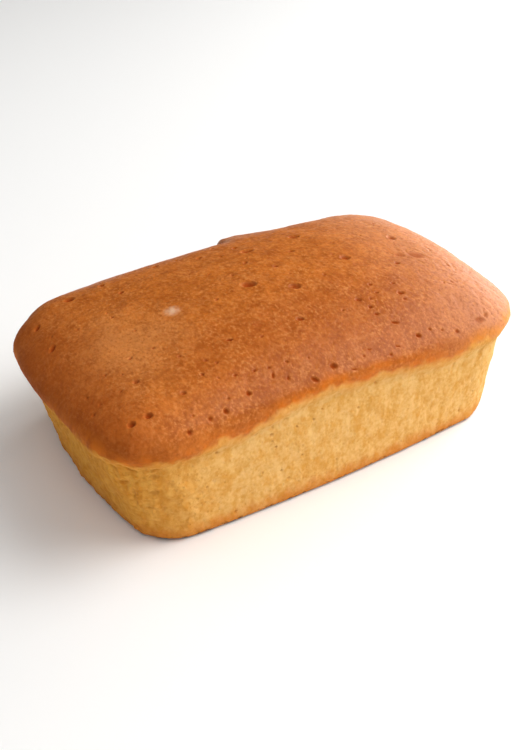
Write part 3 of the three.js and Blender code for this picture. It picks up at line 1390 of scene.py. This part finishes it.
@dataclass(frozen=True)
class CrumbFinish:
    """The pale crumb of the walls: mottled, browner at one end, with a toasted foot."""

    pale: Colour = (236, 188, 116)
    deep: Colour = (219, 157, 72)
    deep_range: Range = (1.05, 1.95)
    # Deeper orange towards the left end.
    left_pale: Colour = (234, 165, 64)
    left_deep: Colour = (216, 139, 40)
    left_range: Range = (1.1, 1.9)
    streaks: Pattern = Pattern(1.7, 1)
    streak_stretch: float = 0.35
    mottles: Pattern = Pattern(1.7, shift=0.1)
    grain: Pattern = Pattern(0.8, shift=0.4)
    # Painted shade inside the wall's pores and creases.
    hollow: Colour = (184, 118, 44)
    hollow_shade_share: float = 0.75
    golden: Colour = (226, 150, 62)
    golden_share: float = 0.55
    golden_range: Range = (-3.2, -0.4)
    toasted: Colour = (208, 124, 40)
    toasted_share: float = 0.85
    toasted_heights: Range = (2.6 * MM, -1.8 * MM)
    toast_line: Pattern = Pattern(3.0)
    toast_wander: float = 5.0 * MM
    scorched: Colour = (84, 48, 22)
    specks: Pattern = Pattern(1.3, shift=0.3)
    speck_range: Range = (0.52, 0.62)
    speck_heights: Range = (1.9 * MM, 0.4 * MM)
    rim_heights: Range = (0.5 * MM, 0.1 * MM)
    bumps: Pattern = Pattern(0.7, 3, 0.6)
    pit_size: float = 1.1
    pit_range: Range = (0.1, 0.45)
    pit_share: float = 0.5

    def colour(self, graph: Graph, left_end: bpy.types.NodeSocket) -> bpy.types.NodeSocket:
        """Make the crumb's colour.

        Args:
            graph: The material's nodes.
            left_end: How near a place is to the left end, where the crumb turns deeper orange.

        Returns:
            The colour.
        """
        upright = graph.stretched(1, 1, self.streak_stretch)
        mixed = graph.plus(graph.noise(self.streaks, upright), graph.noise(self.mottles))
        mixed = graph.plus(mixed, graph.noise(self.grain))
        colour = graph.mix(graph.remap(mixed, *self.deep_range), self.pale, self.deep)
        left_colour = graph.remap(mixed, *self.left_range)
        left_colour = graph.mix(left_colour, self.left_pale, self.left_deep)
        colour = graph.mix(left_end, colour, left_colour)
        # Painted shade: the pores and creases of the wall darken towards the hollow colour.
        marked = graph.times(graph.mark(Mark.HOLLOW_SHADE), self.hollow_shade_share)
        colour = graph.mix(marked, colour, self.hollow)
        near_crust = graph.remap(graph.mark(Mark.CRUST_HEIGHT), *self.golden_range)
        colour = graph.mix(graph.times(near_crust, self.golden_share), colour, self.golden)
        height = graph.axis("Z")
        wander = graph.times(graph.noise(self.toast_line), self.toast_wander)
        toast = graph.remap(graph.math("SUBTRACT", height, wander), *self.toasted_heights)
        colour = graph.mix(graph.times(toast, self.toasted_share), colour, self.toasted)
        specks = graph.remap(graph.noise(self.specks), *self.speck_range)
        low = graph.remap(height, *self.speck_heights)
        colour = graph.mix(graph.times(specks, low), colour, self.scorched)
        return graph.mix(graph.remap(height, *self.rim_heights), colour, self.scorched)

    def height(self, graph: Graph) -> bpy.types.NodeSocket:
        """Make the crumb's finest relief.

        Args:
            graph: The material's nodes.

        Returns:
            The height, from 0 up.
        """
        pits = graph.remap(graph.cells(self.pit_size), *self.pit_range)
        return graph.plus(graph.times(pits, self.pit_share), graph.noise(self.bumps))


@dataclass(frozen=True)
class CrustFinish:
    """The brown crust: mottled, finely crinkled, and orange towards its lower edge."""

    gold: Colour = (193, 107, 36)
    brown: Colour = (159, 80, 17)
    brown_range: Range = (0.65, 1.35)
    blotches: Pattern = Pattern(5.0)
    mottles: Pattern = Pattern(1.4, 2, 0.6)
    stretch: float = 0.7
    ruddy: Colour = (156, 72, 16)
    ruddy_across: Range = (-5.0 * MM, -18.0 * MM)
    ruddy_along: Range = (-38.0 * MM, -18.0 * MM, 0.0, 0.38)
    # A paler, pinker right end: painted sheen of the light from the right.
    pale: Colour = (229, 157, 114)
    painted_sheen_share: float = 0.68
    painted_sheen_along: Range = (17.0 * MM, 52.0 * MM)
    faded: Colour = (218, 142, 76)
    faded_share: float = 0.42
    faded_place: Place = (-34.0, -6.0, 31.0)
    faded_reach: Range = (28.0 * MM, 12.0 * MM)
    faded_line: Pattern = Pattern(6.0, 3, 0.6, 0.8)
    faded_wander: float = 20.0 * MM
    crinkle: Colour = (219, 141, 76)
    curls: Pattern = Pattern(1.5)
    curl_middle: float = 0.5
    curl_range: Range = (0.11, 0.0)
    curl_share: float = 0.22
    curl_patches: Pattern = Pattern(4.0, 1, shift=0.5)
    curl_patch_range: Range = (0.35, 0.65)
    grain: Pattern = Pattern(0.62, 2, 0.6)
    grain_range: Range = (0.5, 0.68)
    grain_patches: Pattern = Pattern(6.0, shift=0.9)
    grain_shares: Range = (0.3, 0.7, 0.22, 0.5)
    freckle: Colour = (142, 66, 12)
    freckle_range: Range = (0.48, 0.32)
    freckle_share: float = 0.4
    # Darker towards the left end: painted shade of the end turned from the light, and a browner
    # bake.
    dark: Colour = (163, 71, 2)
    shade_and_bake_share: float = 0.6
    shade_and_bake_along: Range = (-34.0 * MM, -52.0 * MM)
    orange: Colour = (214, 112, 18)
    golden: Colour = (240, 158, 68)
    edge_heights: Range = (3.4, 0.2)
    edge_patches: Pattern = Pattern(3.0, 3, 0.6, 0.7)
    edge_shares: Range = (0.35, 0.65, 0.3, 0.95)
    # A small, patchy pale spot at one place on the crust.
    pale_spot: Colour = (226, 182, 146)
    pale_spot_place: Place = (-21.7, -1.6, 33.6)
    pale_spot_reach: Range = (2.5 * MM, 0.3 * MM)
    pale_spot_patches: Pattern = Pattern(1.2, shift=0.6)
    pale_spot_shares: Range = (0.25, 0.65, 0.3, 0.85)
    # Painted shade inside the burst bubbles and dents, in a deep orange-brown.
    hollow: Colour = (148, 60, 4)
    bumps: Pattern = Pattern(0.9, 3)
    bump_share: float = 1.7
    curl_bump_range: Range = (0.16, 0.0)
    curl_bump_share: float = 0.2

    def colour(self, graph: Graph) -> bpy.types.NodeSocket:
        """Make the crust's colour.

        Args:
            graph: The material's nodes.

        Returns:
            The colour.
        """
        crossways = graph.stretched(1, self.stretch, 1)
        mottles = graph.noise(self.mottles, crossways)
        blotches = graph.plus(graph.noise(self.blotches), mottles)
        colour = graph.mix(graph.remap(blotches, *self.brown_range), self.gold, self.brown)
        along = graph.axis("X")
        sheen_end = graph.remap(along, *self.painted_sheen_along)
        ruddy_side = graph.remap(graph.axis("Y"), *self.ruddy_across)
        ruddy_share = graph.times(ruddy_side, graph.remap(along, *self.ruddy_along))
        colour = graph.mix(ruddy_share, colour, self.ruddy)
        # Painted sheen: the crust turns paler and pinker towards the right end.
        colour = graph.mix(graph.times(sheen_end, self.painted_sheen_share), colour, self.pale)
        colour = graph.mix(self.fading(graph), colour, self.faded)
        colour = self.crinkled(graph, colour, crossways)
        # Painted shade and a browner bake darken the crust towards the left end.
        shade_and_bake_end = graph.remap(along, *self.shade_and_bake_along)
        colour = graph.mix(graph.times(shade_and_bake_end, self.shade_and_bake_share), colour, self.dark)
        low = graph.remap(graph.mark(Mark.CRUST_HEIGHT), *self.edge_heights)
        glowing = graph.remap(graph.noise(self.edge_patches), *self.edge_shares)
        edge = graph.mix(sheen_end, self.orange, self.golden)
        colour = graph.mix(graph.times(low, glowing), colour, edge)
        # A small, patchy pale spot at one place on the crust.
        spot = graph.remap(graph.distance(self.pale_spot_place), *self.pale_spot_reach)
        spot_cover = graph.remap(graph.noise(self.pale_spot_patches), *self.pale_spot_shares)
        colour = graph.mix(graph.times(spot, spot_cover), colour, self.pale_spot)
        # Painted shade: the hollows darken towards the hollow colour as far as their mark says.
        return graph.mix(graph.mark(Mark.HOLLOW_SHADE), colour, self.hollow)

    def fading(self, graph: Graph) -> bpy.types.NodeSocket:
        """Find how much a place belongs to the faded patch, with its ragged edge.

        Args:
            graph: The material's nodes.

        Returns:
            The share of the patch's colour.
        """
        wander = graph.times(graph.noise(self.faded_line), self.faded_wander)
        apart = graph.plus(graph.distance(self.faded_place), wander)
        return graph.times(graph.remap(apart, *self.faded_reach), self.faded_share)

    def crinkled(
        self, graph: Graph, colour: bpy.types.NodeSocket, crossways: bpy.types.NodeSocket
    ) -> bpy.types.NodeSocket:
        """Draw the pale curls, the pale grain and the dark freckles.

        Args:
            graph: The material's nodes.
            colour: The colour below them.
            crossways: Coordinates that stretch a pattern across the cake.

        Returns:
            The colour with them.
        """
        patch = graph.remap(graph.noise(self.curl_patches), *self.curl_patch_range)
        curls = graph.times(graph.remap(self.curl(graph), *self.curl_range), patch)
        colour = graph.mix(graph.times(curls, self.curl_share), colour, self.crinkle)
        grain = graph.noise(self.grain, crossways)
        strength = graph.remap(graph.noise(self.grain_patches), *self.grain_shares)
        light = graph.times(graph.remap(grain, *self.grain_range), strength)
        colour = graph.mix(light, colour, self.crinkle)
        freckles = graph.times(graph.remap(grain, *self.freckle_range), self.freckle_share)
        return graph.mix(freckles, colour, self.freckle)

    def height(self, graph: Graph) -> bpy.types.NodeSocket:
        """Make the crust's finest relief.

        Args:
            graph: The material's nodes.

        Returns:
            The height, from 0 up.
        """
        curls = graph.remap(self.curl(graph), *self.curl_bump_range)
        bumps = graph.times(graph.noise(self.bumps), self.bump_share)
        return graph.plus(graph.times(curls, self.curl_bump_share), bumps)

    def curl(self, graph: Graph) -> bpy.types.NodeSocket:
        """Find how far a place is from the middle of the nearest curling line.

        Args:
            graph: The material's nodes.

        Returns:
            The difference of its noise from the middle.
        """
        field_of_curls = graph.noise(self.curls, graph.stretched(1, self.stretch, 1))
        apart = graph.math("SUBTRACT", field_of_curls, self.curl_middle)
        return graph.math("ABSOLUTE", apart, 0)


@dataclass(frozen=True)
class SpongeFinish:
    """The cake's finish: crust above a ragged line, crumb below it."""

    crumb: CrumbFinish = CrumbFinish()
    crust: CrustFinish = CrustFinish()
    edge_line: Pattern = Pattern(3.4)
    edge_wander: Range = (0.2, 0.8, -0.8, 0.8)
    edge_range: Range = (-0.8, 0.8)
    left_along: Range = (-22.0 * MM, -52.0 * MM)
    crumb_roughness: float = 0.85
    crust_roughness: float = 0.46
    dry_roughness: float = 0.75
    hollow_roughness: float = 0.9
    gloss: float = 0.16
    crumb_bumps: Range = (0, 0.6, 1.6, 4.2)
    bump_distance: float = 0.075 * MM
    glow: float = 0.15
    glow_colour: tuple[float, float, float] = (1.0, 0.5, 0.2)
    glow_reach: float = 1.2 * MM

    def material(self) -> bpy.types.Material:
        """Make the material.

        Returns:
            The material.
        """
        graph = Graph("sponge")
        wander = graph.remap(graph.noise(self.edge_line), *self.edge_wander)
        above = graph.plus(graph.mark(Mark.CRUST_HEIGHT), wander)
        brown = graph.remap(above, *self.edge_range)
        # How near a place is to the left end: deeper orange crumb, rougher crust and stronger
        # crumb bumps.
        left_end = graph.remap(graph.axis("X"), *self.left_along)
        crumb_colour = self.crumb.colour(graph, left_end)
        colour = graph.mix(brown, crumb_colour, self.crust.colour(graph))
        shader = graph.shader
        graph.feed(shader.inputs["Base Color"], colour)
        dry = graph.remap(left_end, 0, 1, self.crust_roughness, self.dry_roughness)
        dry = graph.remap(graph.mark(Mark.HOLLOW_SHADE), 0, 1, dry, self.hollow_roughness)
        roughness = graph.remap(brown, 0, 1, self.crumb_roughness, dry)
        graph.feed(shader.inputs["Roughness"], roughness)
        crumb_bump = graph.remap(left_end, *self.crumb_bumps)
        crumb_height = graph.times(self.crumb.height(graph), crumb_bump)
        bump = graph.node("ShaderNodeBump")
        bump.inputs["Distance"].default_value = self.bump_distance
        bump.inputs["Strength"].default_value = 1.0
        relief = graph.mix(brown, crumb_height, self.crust.height(graph))
        graph.feed(bump.inputs["Height"], relief)
        graph.feed(shader.inputs["Normal"], bump.outputs["Normal"])
        shader.inputs["Specular IOR Level"].default_value = self.gloss
        shader.inputs["Subsurface Weight"].default_value = self.glow
        shader.inputs["Subsurface Radius"].default_value = self.glow_colour
        shader.inputs["Subsurface Scale"].default_value = self.glow_reach
        return graph.material


# ------------------------------------------------------------------ the studio


def direction(azimuth: float, elevation: float) -> Vector:
    """Return the direction from the cake towards an azimuth and elevation.

    Args:
        azimuth: Degrees round the cake: 0 is in front of it and 90 at its right.
        elevation: Degrees above the horizon.

    Returns:
        The direction, of length 1.
    """
    turn, rise = math.radians(azimuth), math.radians(elevation)
    level = math.cos(rise)
    return Vector((math.sin(turn) * level, -math.cos(turn) * level, math.sin(rise)))


@dataclass(frozen=True)
class SoftLight:
    """A large square light that faces the cake. Its distance and size are in metres."""

    name: str
    azimuth: float
    elevation: float
    distance: float
    size: float
    watts: float

    def place(self) -> None:
        """Put the light in the scene."""
        light = bpy.data.lights.new(self.name, "AREA")
        light.shape = "SQUARE"
        light.size = self.size
        light.energy = self.watts
        lamp = bpy.data.objects.new(self.name, light)
        way = direction(self.azimuth, self.elevation)
        lamp.location = way * self.distance
        lamp.rotation_mode = "QUATERNION"
        lamp.rotation_quaternion = way.to_track_quat("Z", "Y")
        bpy.context.collection.objects.link(lamp)


@dataclass(frozen=True)
class Viewpoint:
    """The camera: where it stands, what it is aimed at, its roll and its lens."""

    azimuth: float = -29.62
    elevation: float = 33.38
    roll: float = -2.9
    distance: float = 231.94
    target: Place = (-6.01, -11.71, 17.5)
    focal_length: float = 51.45
    sensor: float = 36.0

    def place(self) -> None:
        """Put the camera in the scene."""
        back = direction(self.azimuth, self.elevation)
        turn, roll = math.radians(self.azimuth), math.radians(self.roll)
        level = Vector((math.cos(turn), math.sin(turn), 0))
        steep = back.cross(level)
        right = level * math.cos(roll) + steep * math.sin(roll)
        up = steep * math.cos(roll) - level * math.sin(roll)
        lens = bpy.data.cameras.new("camera")
        lens.lens = self.focal_length
        lens.sensor_width = self.sensor
        camera = bpy.data.objects.new("camera", lens)
        spot = (Vector(self.target) + back * self.distance) * MM
        turned = Matrix((right, up, back)).transposed().to_4x4()
        camera.matrix_world = Matrix.Translation(spot) @ turned
        bpy.context.collection.objects.link(camera)
        bpy.context.scene.camera = camera


@dataclass(frozen=True)
class Studio:
    """A pale round floor, plain soft lights and even light from all round.

    The floor's radius is in metres. The backdrop is the even light's strength where
    the camera sees it, and the sky its strength on the cake and the floor.
    """

    floor_radius: float = 0.5
    floor_sides: int = 64
    floor_colour: Colour = (246, 245, 243)
    floor_roughness: float = 0.9
    lights: tuple[SoftLight, ...] = (
        SoftLight("window", 108, 14, 0.8, 0.4, 2.8),
        SoftLight("window_side", 70, 36, 0.8, 0.6, 3.6),
        SoftLight("right", 90, 50, 0.8, 0.6, 0.9),
        SoftLight("front", 55, 50, 0.8, 0.6, 3.2),
        SoftLight("left", -20, 50, 0.8, 0.6, 2.0),
        SoftLight("behind", 225, 50, 0.8, 0.6, 0.8),
    )
    sky: float = 0.1
    backdrop: float = 0.9

    def build(self) -> None:
        """Make the floor, the lights and the sky."""
        disc = bmesh.new()
        bmesh.ops.create_circle(
            disc, cap_ends=True, segments=self.floor_sides, radius=self.floor_radius
        )
        mesh = bpy.data.meshes.new("floor_mesh")
        disc.to_mesh(mesh)
        disc.free()
        floor = bpy.data.objects.new("floor", mesh)
        graph = Graph("floor")
        graph.shader.inputs["Base Color"].default_value = linear(self.floor_colour)
        graph.shader.inputs["Roughness"].default_value = self.floor_roughness
        mesh.materials.append(graph.material)
        bpy.context.collection.objects.link(floor)
        for light in self.lights:
            light.place()
        world = bpy.data.worlds.new("studio")
        world.use_nodes = True
        nodes = world.node_tree.nodes
        sky = nodes["Background"]
        sky.inputs["Color"].default_value = (1, 1, 1, 1)
        strength = nodes.new("ShaderNodeMix")
        strength.inputs[2].default_value = self.sky
        strength.inputs[3].default_value = self.backdrop
        seen = nodes.new("ShaderNodeLightPath").outputs["Is Camera Ray"]
        world.node_tree.links.new(seen, strength.inputs[0])
        world.node_tree.links.new(strength.outputs[0], sky.inputs["Strength"])
        bpy.context.scene.world = world
        bpy.context.scene.view_settings.view_transform = "Standard"


def main() -> None:
    """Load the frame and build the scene."""
    logging.basicConfig(level=logging.INFO, format="%(message)s")
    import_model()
    Viewpoint().place()
    Studio().build()
    LOG.info("studio: floor, lights and camera")
    cake = Cake().build()
    cake.data.materials.append(SpongeFinish().material())
    LOG.info("%s: %d faces", cake.name, len(cake.data.polygons))


if __name__ == "__main__":
    main()
